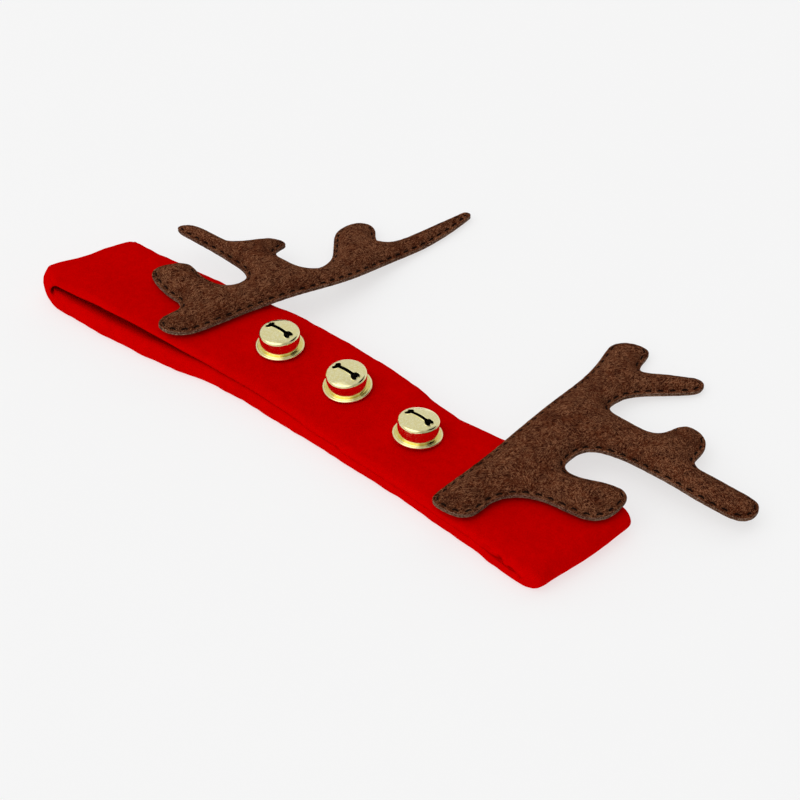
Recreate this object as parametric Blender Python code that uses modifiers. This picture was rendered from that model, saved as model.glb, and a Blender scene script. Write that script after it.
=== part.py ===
"""Reindeer antler headband: a padded band lying pressed flat, two stuffed felt antlers and three jingle bells."""

import math

import bpy
import bmesh
import numpy as np
from mathutils import Matrix, Vector
from mathutils.geometry import delaunay_2d_cdt

# Band, lying on the floor with its length along X
BAND_LENGTH = 0.264
BAND_WIDTH = 0.044
BAND_LAYER = 0.0052  # one side of the loop: padded fleece
BAND_HOLLOW = 0.0046  # widest gap between the two sides, at the slack left end
BAND_BOW = 0.0110  # how far the middle lies behind the ends
BAND_SHIFT = 0.0040  # how far the lower side lies out towards the front at most
BAND_SLANT = 0.17  # how far the ends run forward for each unit of width
BAND_END_REACH = 0.030  # how far from its ends the shape of the ends is felt
BAND_STATIONS = 30
BAND_ROUND_STEPS = 5

# A row for each section along the band: its place as a share of half the length, the gap
# between the two sides as a share of BAND_HOLLOW, the bow as a share of BAND_BOW, the width
# as a share of BAND_WIDTH, and how far the lower side lies out as a share of BAND_SHIFT
BAND_SECTIONS = (
    # along, hollow, bow, width, shift
    (-1.00, 1.00, 0.12, 1.00, 0.10),
    (-0.84, 1.00, 0.16, 1.00, 0.15),
    (-0.73, 1.00, 0.28, 1.00, 0.45),
    (-0.57, 0.93, 0.46, 1.00, 0.63),
    (-0.43, 0.78, 0.64, 1.01, 0.55),
    (-0.29, 0.57, 0.90, 1.05, 0.25),
    (-0.13, 0.37, 1.00, 1.04, 0.32),
    (0.02, 0.18, 1.00, 1.05, 0.48),
    (0.15, 0.12, 0.86, 1.04, 0.22),
    (0.30, 0.09, 0.64, 1.00, 0.00),
    (0.38, 0.09, 0.58, 0.98, 0.00),
    (0.47, 0.09, 0.60, 1.02, 0.00),
    (0.55, 0.09, 0.62, 1.07, 0.00),
    (0.65, 0.09, 0.54, 1.08, 0.00),
    (0.75, 0.09, 0.50, 1.10, 0.00),
    (0.84, 0.09, 0.41, 1.14, 0.00),
    (0.92, 0.09, 0.35, 1.16, 0.00),
    (1.00, 0.09, 0.33, 1.16, 0.00),
)

# A row for each place across the band: how far its folded ends lie out beyond a straight
# slanted end there, as shares of BAND_WIDTH
BAND_ENDS = (
    # across, left, right
    (-1.00, -0.200, -0.080),
    (-0.94, -0.120, -0.020),
    (-0.86, -0.055, 0.000),
    (-0.76, 0.005, 0.000),
    (-0.60, 0.060, 0.000),
    (-0.42, 0.055, 0.000),
    (-0.10, 0.018, 0.000),
    (0.15, 0.000, -0.005),
    (0.45, -0.005, -0.020),
    (0.62, -0.028, -0.035),
    (0.82, -0.048, -0.045),
    (0.94, -0.075, -0.060),
    (1.00, -0.110, -0.110),
)

# Antlers: two felt halves with padding behind each, stitched together round the edge
ANTLER_SIZE = 0.160
FELT = 0.0015
PADDED_HALF = 0.0032  # felt and its padding where the half is fullest
PAD_REACH = 0.0085  # distance from the edge at which the half is full
DROOP_REACH = 0.085  # past the band's back edge, where the antler has sagged to the floor
DROOP_START = 0.004  # how far inside the band's edge the sag begins
ANTLER_TRIM = 0.0006  # how far inside its outline the felt is cut
OUTLINE_STEP = 0.0045
PANEL_GRID = 0.0062
LEFT_FOOT = (-0.062, -0.015)
RIGHT_FOOT = (0.084, -0.020)

# A row for each corner of the outline, round from the foot, as shares of ANTLER_SIZE: across
# from the foot, up from the foot, and how far before and after the corner the edge turns
LEFT_OUTLINE = (
    # across, up, turn
    (-0.065, -0.004, 0.050),
    (-0.048, 0.102, 0.025),
    (-0.140, 0.108, 0.090),
    (-0.225, 0.144, 0.045),
    (-0.181, 0.230, 0.055),
    (-0.142, 0.236, 0.040),
    (-0.100, 0.218, 0.040),
    (-0.027, 0.223, 0.045),
    (-0.001, 0.283, 0.030),
    (-0.040, 0.310, 0.040),
    (-0.140, 0.318, 0.055),
    (-0.316, 0.322, 0.040),
    (-0.297, 0.385, 0.045),
    (-0.154, 0.387, 0.030),
    (-0.122, 0.494, 0.045),
    (-0.070, 0.520, 0.030),
    (-0.050, 0.430, 0.030),
    (0.074, 0.436, 0.050),
    (0.069, 0.522, 0.050),
    (-0.050, 0.662, 0.050),
    (-0.045, 0.746, 0.050),
    (0.014, 0.766, 0.035),
    (0.070, 0.700, 0.030),
    (0.100, 0.747, 0.040),
    (0.153, 0.982, 0.030),
    (0.180, 0.980, 0.030),
    (0.184, 0.845, 0.090),
    (0.160, 0.670, 0.075),
    (0.164, 0.470, 0.100),
    (0.121, 0.310, 0.090),
    (0.083, 0.192, 0.090),
    (0.035, 0.011, 0.075),
)
RIGHT_OUTLINE = (
    # across, up, turn
    (-0.061, -0.001, 0.040),
    (0.056, 0.011, 0.050),
    (0.058, 0.118, 0.035),
    (0.116, 0.174, 0.050),
    (0.293, 0.192, 0.070),
    (0.293, 0.328, 0.060),
    (0.220, 0.323, 0.045),
    (0.155, 0.290, 0.040),
    (0.108, 0.293, 0.030),
    (0.103, 0.388, 0.050),
    (0.180, 0.420, 0.055),
    (0.420, 0.424, 0.055),
    (0.519, 0.445, 0.050),
    (0.514, 0.539, 0.055),
    (0.431, 0.531, 0.050),
    (0.314, 0.523, 0.030),
    (0.300, 0.618, 0.050),
    (0.257, 0.657, 0.045),
    (0.201, 0.657, 0.040),
    (0.188, 0.557, 0.045),
    (0.040, 0.560, 0.030),
    (0.036, 0.652, 0.050),
    (0.165, 0.796, 0.040),
    (0.140, 0.842, 0.030),
    (0.050, 0.795, 0.050),
    (-0.006, 0.751, 0.030),
    (-0.025, 0.850, 0.030),
    (-0.094, 0.839, 0.045),
    (-0.125, 0.799, 0.030),
    (-0.084, 0.651, 0.090),
    (-0.049, 0.280, 0.125),
)

# Jingle bells, each with its rim flange, shallow back and sewing lug
BELL_RADIUS = 0.00805
BELL_HEIGHT = 0.0084  # from the flange's middle to the top of the dome
BELL_SIDE = 0.0057  # straight side above the flange's middle
BELL_SHOULDER = 0.0013  # radius of the turn from the side into the dome
BELL_WALL = 0.0005
FLANGE_RADIUS = 0.00975
FLANGE_THICK = 0.0011
BACK_DEPTH = 0.0024  # from the flange's middle to the back of the shell
FLANGE_LIFT = 0.0005  # flange's middle above the band
LUG_WIDTH = 0.0036
LUG_THICK = 0.0008
LUG_DROP = 0.0021  # how far the lug reaches below the back
LUG_HOLE = 0.0015
SLOT_LENGTH = 0.0124
SLIT_WIDTH = 0.0018
BALL_DIAMETER = 0.0040
BELL_STEPS = 20
DOME_STEPS = 3
SHOULDER_STEPS = 3

# A row for each bell: its node name, its place as shares of half the band's length and width,
# and how far it leans towards the back, in degrees
BELLS = (
    # name, along, across, lean
    ("bell_left", -0.206, 0.075, -1.0),
    ("bell_middle", 0.063, 0.070, -5.0),
    ("bell_right", 0.355, 0.093, 6.0),
)

REST_GAP = 0.0003  # between pieces that lie against each other
SEAM_GAP = 0.0003  # between the two halves of an antler
POCKET_GAP = 0.0003  # round a bell's back, where it presses into the band


# Scene and materials


def clear_scene():
    for item in list(bpy.data.objects):
        bpy.data.objects.remove(item, do_unlink=True)


def collection(name, hidden=False):
    made = bpy.data.collections.new(name)
    made.hide_render = hidden
    bpy.context.scene.collection.children.link(made)
    return made


def material(name, colour, roughness, metallic=0.0):
    made = bpy.data.materials.new(name)
    made.use_nodes = True
    shader = made.node_tree.nodes["Principled BSDF"]
    shader.inputs["Base Color"].default_value = (*colour, 1.0)
    shader.inputs["Roughness"].default_value = roughness
    shader.inputs["Metallic"].default_value = metallic
    return made


def mesh_object(name, mesh, group, look=None):
    made = bpy.data.objects.new(name, mesh)
    group.objects.link(made)
    if look:
        mesh.materials.append(look)
    return made


def faced_mesh(name, points, faces):
    mesh = bpy.data.meshes.new(name)
    mesh.from_pydata([tuple(p) for p in points], [], faces)
    shaped = bmesh.new()
    shaped.from_mesh(mesh)
    bmesh.ops.recalc_face_normals(shaped, faces=shaped.faces)
    shaped.to_mesh(mesh)
    shaped.free()
    return mesh


# Band


def section_at(share, column):
    """A column of BAND_SECTIONS at a share of half the length, eased between its rows."""
    rows = BAND_SECTIONS
    share = min(max(share, rows[0][0]), rows[-1][0])
    for low, high in zip(rows, rows[1:]):
        if share <= high[0]:
            step = (share - low[0]) / (high[0] - low[0])
            step = step * step * (3 - 2 * step) * 0.5 + step * 0.5
            return low[column] + (high[column] - low[column]) * step
    return rows[-1][column]


def hollow_at(x):
    return BAND_HOLLOW * section_at(2 * x / BAND_LENGTH, 1)


def bow_at(x):
    return BAND_BOW * section_at(2 * x / BAND_LENGTH, 2)


def width_at(x):
    return BAND_WIDTH * section_at(2 * x / BAND_LENGTH, 3)


def shift_at(x):
    return BAND_SHIFT * section_at(2 * x / BAND_LENGTH, 4)


def end_at(x, across):
    """How far a point is pushed along the band by the shape of the nearer end."""
    inside = BAND_LENGTH / 2 - BAND_END_REACH
    share = min(max((abs(x) - inside) / BAND_END_REACH, 0), 1)
    places = [row[0] for row in BAND_ENDS]
    out = np.interp(across, places, [row[1 if x < 0 else 2] for row in BAND_ENDS])
    return math.copysign(1, x) * share * share * (3 - 2 * share) * out * BAND_WIDTH


def station_of(x, y):
    """Where a point in plan lies along the band, allowing for its slanted ends."""
    return x - BAND_SLANT * (y - bow_at(x))


def band_top(x, y):
    return 2 * BAND_LAYER + hollow_at(station_of(x, y))


def band_path():
    """The loop's middle line in side view, as (x, z, outward x, outward z, level from 0 to 1)."""
    half = BAND_LENGTH / 2
    path = []
    ends = []
    for side in (-1, 1):
        turn = (BAND_LAYER + hollow_at(side * half)) / 2
        ends.append((side * (half - BAND_LAYER / 2 - turn), turn))
    (left, left_turn), (right, right_turn) = ends
    for i in range(BAND_STATIONS + 1):
        x = right + (left - right) * i / BAND_STATIONS
        path.append((x, BAND_LAYER / 2, 0.0, -1.0, 0.0))
    for i in range(1, 8):
        angle = math.pi * i / 8
        out = (-math.sin(angle), -math.cos(angle))
        z = BAND_LAYER / 2 + left_turn * (1 + out[1])
        path.append((left + left_turn * out[0], z, *out, i / 8))
    for i in range(BAND_STATIONS + 1):
        x = left + (right - left) * i / BAND_STATIONS
        path.append((x, BAND_LAYER * 1.5 + hollow_at(x), 0.0, 1.0, 1.0))
    for i in range(1, 6):
        angle = math.pi * i / 6
        out = (math.sin(angle), math.cos(angle))
        z = BAND_LAYER / 2 + right_turn * (1 + out[1])
        path.append((right + right_turn * out[0], z, *out, 1 - i / 6))
    return path


def band_section():
    """The cut across one side of the loop: flat faces and fully rounded long edges."""
    radius = BAND_LAYER / 2
    flat = BAND_WIDTH / 2 - radius
    points = []
    for side in (1, -1):
        for i in range(BAND_ROUND_STEPS + 1):
            angle = math.pi * i / BAND_ROUND_STEPS
            across = side * (flat + radius * math.sin(angle))
            points.append((across, side * radius * math.cos(angle)))
    return points


def make_band(group, look):
    path = band_path()
    section = band_section()
    points = []
    for x, z, out_x, out_z, level in path:
        middle = bow_at(x) - shift_at(x) * (1 - level)
        for across, out in section:
            aside = across * width_at(x) / BAND_WIDTH
            along = x + out * out_x + BAND_SLANT * aside + end_at(x, 2 * across / BAND_WIDTH)
            points.append((along, middle + aside, z + out * out_z))
    count = len(section)
    faces = []
    for i in range(len(path)):
        here = i * count
        after = (i + 1) % len(path) * count
        for j in range(count):
            k = (j + 1) % count
            faces.append((here + j, here + k, after + k, after + j))
    return mesh_object("band", faced_mesh("band", points, faces), group, look)


# Antlers


def turned_outline(rows, foot):
    """The felt's edge in plan: straight between rows and turning at each of them."""
    corners = [Vector((foot[0] + a * ANTLER_SIZE, foot[1] + u * ANTLER_SIZE)) for a, u, _ in rows]
    edge = []
    for i, here in enumerate(corners):
        turn = rows[i][2] * ANTLER_SIZE
        before = corners[i - 1] - here
        after = corners[(i + 1) % len(corners)] - here
        start = here + before * min(turn / before.length, 0.5)
        end = here + after * min(turn / after.length, 0.5)
        steps = 6
        for k in range(steps + 1):
            t = k / steps
            edge.append(start * (1 - t) ** 2 + here * 2 * t * (1 - t) + end * t * t)
    return even_steps(trimmed(even_steps(edge, OUTLINE_STEP / 4)), OUTLINE_STEP)


def trimmed(edge):
    """The line moved inwards by ANTLER_TRIM."""
    along = np.roll(edge, -1, axis=0) - np.roll(edge, 1, axis=0)
    along /= np.linalg.norm(along, axis=1)[:, None]
    turns = np.sum(edge[:, 0] * np.roll(edge[:, 1], -1) - np.roll(edge[:, 0], -1) * edge[:, 1])
    inward = np.stack([-along[:, 1], along[:, 0]], axis=1) * math.copysign(1, turns)
    return edge + inward * ANTLER_TRIM


def even_steps(edge, step):
    """The same closed line with points at even distances."""
    points = np.array([tuple(p) for p in edge] + [tuple(edge[0])])
    run = np.concatenate([[0], np.cumsum(np.linalg.norm(np.diff(points, axis=0), axis=1))])
    count = round(run[-1] / step)
    places = np.arange(count) * run[-1] / count
    return np.stack([np.interp(places, run, points[:, i]) for i in (0, 1)], axis=1)


def edge_distance(points, edge):
    """Distance from each point to the outline, negative outside it."""
    start = edge
    side = np.roll(edge, -1, axis=0) - start
    to = points[:, None] - start[None]
    share = np.clip((to * side).sum(-1) / (side**2).sum(-1), 0, 1)
    near = np.linalg.norm(to - share[..., None] * side, axis=-1).min(axis=1)
    y = points[:, None, 1]
    low = start[:, 1] <= y
    crosses = low != (start[:, 1] + side[:, 1] <= y)
    rise = np.where(side[:, 1] == 0, 1, side[:, 1])
    at = start[:, 0] + (y - start[:, 1]) / rise * side[:, 0]
    inside = (crosses & (points[:, None, 0] < at)).sum(axis=1) % 2 == 1
    return np.where(inside, near, -near)


def antler_height(x, y):
    """The seam's height: on top of the band, then sagging to the floor behind it."""
    half = SEAM_GAP / 2 + PADDED_HALF + REST_GAP
    on_band = band_top(x, y) + half
    behind = max(y - bow_at(x) - width_at(x) / 2 + DROOP_START, 0)
    beside = max(x - BAND_LENGTH / 2 + DROOP_START, 0)
    share = min(math.hypot(behind, beside) / DROOP_REACH, 1)
    return on_band + (half - on_band) * share * share * (3 - 2 * share)


def padded_depth(distance):
    """How thick one half is at this distance from its edge."""
    share = np.clip(distance / PAD_REACH, 0, 1)
    return FELT + (PADDED_HALF - FELT) * (1 - (1 - share) ** 2)


def panel_plan(rows, foot):
    """Plan points and triangles of a half, with how many of the points are its edge."""
    edge = turned_outline(rows, foot)
    low, high = edge.min(axis=0), edge.max(axis=0)
    grid = []
    row_step = PANEL_GRID * math.sqrt(0.75)
    for j in range(int((high[1] - low[1]) / row_step) + 1):
        for i in range(int((high[0] - low[0]) / PANEL_GRID) + 1):
            grid.append((low[0] + PANEL_GRID * (i + 0.5 * (j % 2)), low[1] + row_step * j))
    grid = np.array(grid)
    grid = grid[edge_distance(grid, edge) > 0.5 * PANEL_GRID]
    points = [Vector(p) for p in np.concatenate([edge, grid])]
    found = delaunay_2d_cdt(points, [], [list(range(len(edge)))], 1, 1e-7)
    return np.array([tuple(p) for p in found[0]]), [tuple(f) for f in found[2]], edge


def make_antler(name, rows, foot, group, look):
    plan, triangles, edge = panel_plan(rows, foot)
    count = len(plan)
    depth = padded_depth(np.maximum(edge_distance(plan, edge), 0))
    seam = np.array([antler_height(x, y) for x, y in plan])
    rim = [pair for pair in rim_pairs(triangles)]
    for part, side in (("front", 1), ("back", -1)):
        inner = seam + side * SEAM_GAP / 2
        outer = inner + side * depth
        points = [(*p, z) for p, z in zip(plan, inner)] + [(*p, z) for p, z in zip(plan, outer)]
        faces = [tuple(reversed(t)) for t in triangles]
        faces += [tuple(i + count for i in t) for t in triangles]
        faces += [(a, b, b + count, a + count) for a, b in rim]
        mesh_object(f"{name}_{part}", faced_mesh(f"{name}_{part}", points, faces), group, look)


def rim_pairs(triangles):
    """The directed edges that only one triangle has."""
    pairs = {(t[i], t[(i + 1) % 3]) for t in triangles for i in range(3)}
    return sorted(pair for pair in pairs if pair[::-1] not in pairs)


# Bells


def back_circle():
    """Radius of the back's curve, whose rim is the shell's own radius."""
    depth = BACK_DEPTH - FLANGE_THICK / 2
    return (BELL_RADIUS**2 + depth**2) / (2 * depth)


def shell_profile(inset, flange):
    """Half the shell's outline from the top of the dome to the back, as (radius, height)."""
    radius = BELL_RADIUS - inset
    turn = BELL_SHOULDER - inset
    rise = BELL_HEIGHT - BELL_SIDE - inset
    arm = radius - turn
    dome = (arm**2 + rise**2 - turn**2) / (2 * (rise - turn))
    centre = BELL_SIDE + rise - dome
    lean = math.asin(arm / (dome - turn))
    points = []
    for i in range(DOME_STEPS):
        angle = lean * i / DOME_STEPS
        points.append((dome * math.sin(angle), centre + dome * math.cos(angle)))
    for i in range(SHOULDER_STEPS + 1):
        angle = lean + (math.pi / 2 - lean) * i / SHOULDER_STEPS
        points.append((arm + turn * math.sin(angle), BELL_SIDE + turn * math.cos(angle)))
    if flange:
        half = FLANGE_THICK / 2
        points.append((radius, half))
        points.append((FLANGE_RADIUS - half, half))
        points.append((FLANGE_RADIUS, 0.0))
        points.append((FLANGE_RADIUS - half, -half))
    curve = back_circle() - inset
    centre = back_circle() - BACK_DEPTH
    for share in (1.0, 0.66, 0.33, 0.0):
        across = radius * share
        points.append((across, centre - math.sqrt(curve**2 - across**2)))
    return points


def turned(name, loops, group, steps):
    """A mesh turned round Z from open lines that start and end on the axis."""
    points = []
    edges = []
    for line in loops:
        first = len(points)
        points += [(r, 0.0, z) for r, z in line]
        edges += [(i, i + 1) for i in range(first, len(points) - 1)]
    mesh = bpy.data.meshes.new(name)
    mesh.from_pydata(points, edges, [])
    made = mesh_object(name, mesh, group)
    screw = made.modifiers.new("turn", "SCREW")
    screw.steps = screw.render_steps = steps
    screw.use_merge_vertices = True
    screw.merge_threshold = 0.00001
    screw.use_smooth_shade = False
    return made


def flat_cut(name, lines, thickness, group):
    """A flat shape of closed outlines, given as (u, v), made thick along its own Z."""
    curve = bpy.data.curves.new(name, "CURVE")
    curve.dimensions = "2D"
    curve.fill_mode = "BOTH"
    curve.extrude = thickness / 2
    for line in lines:
        spline = curve.splines.new("POLY")
        spline.points.add(len(line) - 1)
        for point, (u, v) in zip(spline.points, line):
            point.co = (u, v, 0, 1)
        spline.use_cyclic_u = True
    shape = bpy.data.objects.new(name, curve)
    group.objects.link(shape)
    graph = bpy.context.evaluated_depsgraph_get()
    mesh = bpy.data.meshes.new_from_object(shape.evaluated_get(graph))
    mesh.name = name
    bpy.data.objects.remove(shape)
    joined = bmesh.new()
    joined.from_mesh(mesh)
    bmesh.ops.remove_doubles(joined, verts=joined.verts, dist=1e-6)
    bmesh.ops.recalc_face_normals(joined, faces=joined.faces)
    joined.to_mesh(mesh)
    joined.free()
    return mesh_object(name, mesh, group)


def bone_outline():
    """The sound slot: a narrow slit with two lobes at each end."""
    half = SLOT_LENGTH / 2
    slit = SLIT_WIDTH / 2
    quarter = (
        # share of half the length, width as a multiple of half the slit
        (0.60, 1.0),
        (0.68, 1.9),
        (0.80, 2.4),
        (0.93, 2.2),
        (1.00, 1.3),
        (0.93, 0.3),
    )
    top = [(along * half, wide * slit) for along, wide in quarter]
    right = [(x, -y) for x, y in top] + top[::-1]
    return right + [(-x, -y) for x, y in right]


def circle(radius, centre, sides):
    turns = [2 * math.pi * i / sides for i in range(sides)]
    return [(centre[0] + radius * math.cos(a), centre[1] + radius * math.sin(a)) for a in turns]


def combine(target, other, operation):
    cut = target.modifiers.new(operation.lower(), "BOOLEAN")
    cut.operation = operation
    cut.solver = "EXACT"
    cut.object = other


def helper(made):
    made.hide_render = True
    made.display_type = "WIRE"
    return made


def bell_place(along, across, lean):
    """The bell's frame: origin at the middle of its flange, Z out of its dome."""
    x = along * BAND_LENGTH / 2
    y = bow_at(x) + across * BAND_WIDTH / 2
    z = band_top(x, y) + FLANGE_LIFT
    return Matrix.Translation((x, y, z)) @ Matrix.Rotation(math.radians(-lean), 4, "X")


def make_bell(name, place, group, cutters, look):
    """The shell, hollow and open through its slot, with its lug."""
    outer = shell_profile(0.0, True)
    inner = shell_profile(BELL_WALL, False)
    bell = turned(name, [outer, inner[::-1]], group, BELL_STEPS)
    bell.data.materials.append(look)
    bell.matrix_world = place

    slot = helper(flat_cut(name + "_slot", [bone_outline()], BELL_HEIGHT, cutters))
    slot.matrix_world = place @ Matrix.Translation((0, 0, BELL_HEIGHT * 0.9))
    combine(bell, slot, "DIFFERENCE")

    top = -BACK_DEPTH + BELL_WALL / 2
    low = -BACK_DEPTH - LUG_DROP
    half = LUG_WIDTH / 2
    rounded = [(half * math.cos(a), low + half + half * math.sin(a)) for a in arc(-180, 0, 8)]
    sides = [(half, top), (-half, top)]
    hole = circle(LUG_HOLE / 2, (0, low + half), 8)
    lug = helper(flat_cut(name + "_lug", [rounded + sides, hole], LUG_THICK, cutters))
    lug.matrix_world = place @ Matrix.Rotation(math.pi / 2, 4, "X")
    combine(bell, lug, "UNION")
    return bell


def arc(start, end, steps):
    return [math.radians(start + (end - start) * i / steps) for i in range(steps + 1)]


def make_ball(name, place, group, look):
    """The loose ball, lying at the lowest place inside its shell."""
    radius = BALL_DIAMETER / 2
    centre = place @ Vector((0, 0, back_circle() - BACK_DEPTH))
    drop = back_circle() - BELL_WALL - REST_GAP - radius
    shaped = bmesh.new()
    bmesh.ops.create_uvsphere(shaped, u_segments=10, v_segments=7, radius=radius)
    mesh = bpy.data.meshes.new(name)
    shaped.to_mesh(mesh)
    shaped.free()
    ball = mesh_object(name, mesh, group, look)
    ball.location = centre - Vector((0, 0, drop))


def press_pocket(band, name, place, cutters):
    """The hollow that a bell's back, flange and lug press into the band."""
    gap = POCKET_GAP
    rim = FLANGE_RADIUS + gap
    shoulder = BELL_RADIUS + gap
    well = math.hypot(LUG_WIDTH, LUG_THICK) / 2 + gap
    curve = back_circle() + gap
    centre = back_circle() - BACK_DEPTH
    under_flange = -FLANGE_THICK / 2 - gap
    profile = [(0.0, BELL_SIDE), (rim, BELL_SIDE), (rim, under_flange), (shoulder, under_flange)]
    for share in (0.8, 0.55):
        across = shoulder * share
        profile.append((across, centre - math.sqrt(curve**2 - across**2)))
    profile.append((well, centre - math.sqrt(curve**2 - well**2)))
    bottom = -BACK_DEPTH - LUG_DROP - gap
    profile += [(well, bottom), (0.0, bottom)]
    pocket = helper(turned(name + "_pocket", [profile], cutters, BELL_STEPS))
    pocket.matrix_world = place
    combine(band, pocket, "DIFFERENCE")


def main():
    clear_scene()
    parts = collection("reindeer antler headband")
    cutters = collection("cutters", hidden=True)
    fleece = material("red fleece", (0.50, 0.0, 0.0), 0.95)
    felt = material("brown felt", (0.075, 0.022, 0.010), 0.95)
    gold = material("pale gold plate", (0.82, 0.74, 0.42), 0.18, 1.0)
    steel = material("ball steel", (0.35, 0.34, 0.32), 0.35, 1.0)

    band = make_band(parts, fleece)
    make_antler("antler_left", LEFT_OUTLINE, LEFT_FOOT, parts, felt)
    make_antler("antler_right", RIGHT_OUTLINE, RIGHT_FOOT, parts, felt)
    for name, along, across, lean in BELLS:
        place = bell_place(along, across, lean)
        make_bell(name, place, parts, cutters, gold)
        make_ball(name + "_ball", place, parts, steel)
        press_pocket(band, name, place, cutters)


main()
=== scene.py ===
"""Reindeer antler headband: fleece band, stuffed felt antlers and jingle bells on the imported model."""

import math

import bpy
import bmesh
import numpy as np
from mathutils import Matrix, Vector, noise
from mathutils.bvhtree import BVHTree
from mathutils.geometry import delaunay_2d_cdt


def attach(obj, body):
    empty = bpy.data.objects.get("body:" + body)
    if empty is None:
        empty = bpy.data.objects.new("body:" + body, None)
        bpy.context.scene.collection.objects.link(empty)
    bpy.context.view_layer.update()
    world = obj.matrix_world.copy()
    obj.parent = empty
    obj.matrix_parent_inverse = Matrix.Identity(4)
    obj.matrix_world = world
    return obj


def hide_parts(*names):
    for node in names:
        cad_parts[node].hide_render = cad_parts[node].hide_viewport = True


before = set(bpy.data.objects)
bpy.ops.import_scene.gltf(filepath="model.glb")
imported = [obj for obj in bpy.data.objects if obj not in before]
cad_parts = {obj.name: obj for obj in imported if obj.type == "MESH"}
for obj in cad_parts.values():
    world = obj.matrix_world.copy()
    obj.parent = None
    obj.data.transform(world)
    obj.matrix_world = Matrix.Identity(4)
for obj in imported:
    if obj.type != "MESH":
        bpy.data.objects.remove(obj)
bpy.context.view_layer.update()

# Band. The sizes are the solid's, with the outline of its ends a little corrected
BAND_LENGTH = 0.264
BAND_WIDTH = 0.044
BAND_LAYER = 0.0052  # one side of the loop: padded fleece
BAND_HOLLOW = 0.0046  # widest gap between the two sides, at the slack left end
BAND_BOW = 0.0110  # how far the middle lies behind the ends
BAND_SHIFT = 0.0040  # how far the lower side lies out towards the front at most
BAND_SLANT = 0.17  # how far the ends run forward for each unit of width
BAND_END_REACH = 0.030  # how far from its ends the shape of the ends is felt
# A row for each section along the band: its place as a share of half the length, the gap
# between the two sides as a share of BAND_HOLLOW, the bow as a share of BAND_BOW, the width
# as a share of BAND_WIDTH, and how far the lower side lies out as a share of BAND_SHIFT
BAND_SECTIONS = (
    # along, hollow, bow, width, shift
    (-1.00, 1.00, 0.12, 1.00, 0.10),
    (-0.84, 1.00, 0.16, 1.00, 0.15),
    (-0.73, 1.00, 0.28, 1.00, 0.45),
    (-0.57, 0.93, 0.46, 1.00, 0.63),
    (-0.43, 0.78, 0.64, 1.01, 0.55),
    (-0.29, 0.57, 0.90, 1.05, 0.25),
    (-0.13, 0.37, 1.00, 1.04, 0.32),
    (0.02, 0.18, 1.00, 1.05, 0.48),
    (0.15, 0.12, 0.86, 1.04, 0.22),
    (0.30, 0.09, 0.64, 1.00, 0.00),
    (0.38, 0.09, 0.58, 0.98, 0.00),
    (0.47, 0.09, 0.60, 1.02, 0.00),
    (0.55, 0.09, 0.62, 1.07, 0.00),
    (0.65, 0.09, 0.54, 1.08, 0.00),
    (0.75, 0.09, 0.50, 1.10, 0.00),
    (0.84, 0.09, 0.41, 1.14, 0.00),
    (0.92, 0.09, 0.35, 1.16, 0.00),
    (1.00, 0.09, 0.33, 1.16, 0.00),
)

# A row for each place across the band: how far its folded ends lie out beyond a straight
# slanted end there, as shares of BAND_WIDTH
BAND_ENDS = (
    # across, left, right
    (-1.00, -0.200, -0.080),
    (-0.94, -0.120, -0.020),
    (-0.86, -0.030, 0.000),
    (-0.76, 0.030, 0.005),
    (-0.60, 0.082, 0.008),
    (-0.42, 0.060, 0.000),
    (-0.10, 0.008, 0.000),
    (0.15, -0.018, -0.005),
    (0.45, -0.026, -0.020),
    (0.62, -0.048, -0.035),
    (0.82, -0.066, -0.045),
    (0.94, -0.090, -0.060),
    (1.00, -0.110, -0.110),
)
BAND_STEP = 0.0012  # spacing of the fleece's mesh
LEFT_FOLD_STEPS = 20
RIGHT_FOLD_STEPS = 16

# A row for each place along the band: how far apart the padded long edges stand, how much
# fuller the lower one is, how squarely the two are pressed together, from 0 for round to 1,
# and how far the upper one draws back from the front
BAND_MOUTH = (
    # along, gap, fuller, pressed, back
    (-1.00, 0.0008, 0.0062, 0.0, 0.0010),
    (-0.93, 0.0014, 0.0044, 0.0, 0.0020),
    (-0.84, 0.0021, 0.0033, 0.0, 0.0026),
    (-0.72, 0.0025, 0.0036, 0.0, 0.0022),
    (-0.56, 0.0022, 0.0036, 0.1, 0.0016),
    (-0.42, 0.0014, 0.0032, 0.3, 0.0012),
    (-0.30, 0.0006, 0.0028, 0.5, 0.0010),
    (-0.16, 0.0002, 0.0022, 0.7, 0.0008),
    (-0.02, 0.0001, 0.0018, 0.9, 0.0006),
    (0.12, 0.0001, 0.0014, 1.0, 0.0000),
    (1.00, 0.0001, 0.0010, 1.0, 0.0000),
)
EDGE_STEPS = 12  # points round each long edge
EDGE_REACH = 0.012  # how far in from a long edge the padding is fuller
CROWN_REACH = 0.010  # how far in from a long edge the upper side starts to fall away
CROWN_DROP = 0.0011
FLEECE_SINK = -0.00025  # leaves room for the waves of the fleece
FLEECE_WAVES = (
    # height, size: two all over, one near the long edges, and a fine one all over
    (0.00030, 0.028),
    (0.00012, 0.009),
    (0.00022, 0.0045),
    (0.00004, 0.0016),
)
BELL_DIP = 0.0007  # how far the fleece sinks under a bell
BELL_DIP_WIDTH = 0.0125
TURN_THIN = 0.0020  # how much thinner the long edges are where the left end folds over

# A row for each short crease or dent pressed into the band, from one place to another
BAND_DENTS = (
    # from x, y, z, to x, y, z, depth, half width
    (0.1020, -0.0195, 0.0082, 0.1110, -0.0200, 0.0070, 0.0012, 0.0012),
    (0.1130, -0.0205, 0.0082, 0.1175, -0.0215, 0.0048, 0.0011, 0.0010),
    (0.1090, -0.0205, 0.0078, 0.1125, -0.0210, 0.0042, 0.0009, 0.0010),
    (0.1300, -0.0135, 0.0095, 0.1310, -0.0120, 0.0030, 0.0010, 0.0030),
    (0.0120, -0.0140, 0.0085, 0.0260, -0.0145, 0.0065, 0.0008, 0.0011),
)

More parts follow.
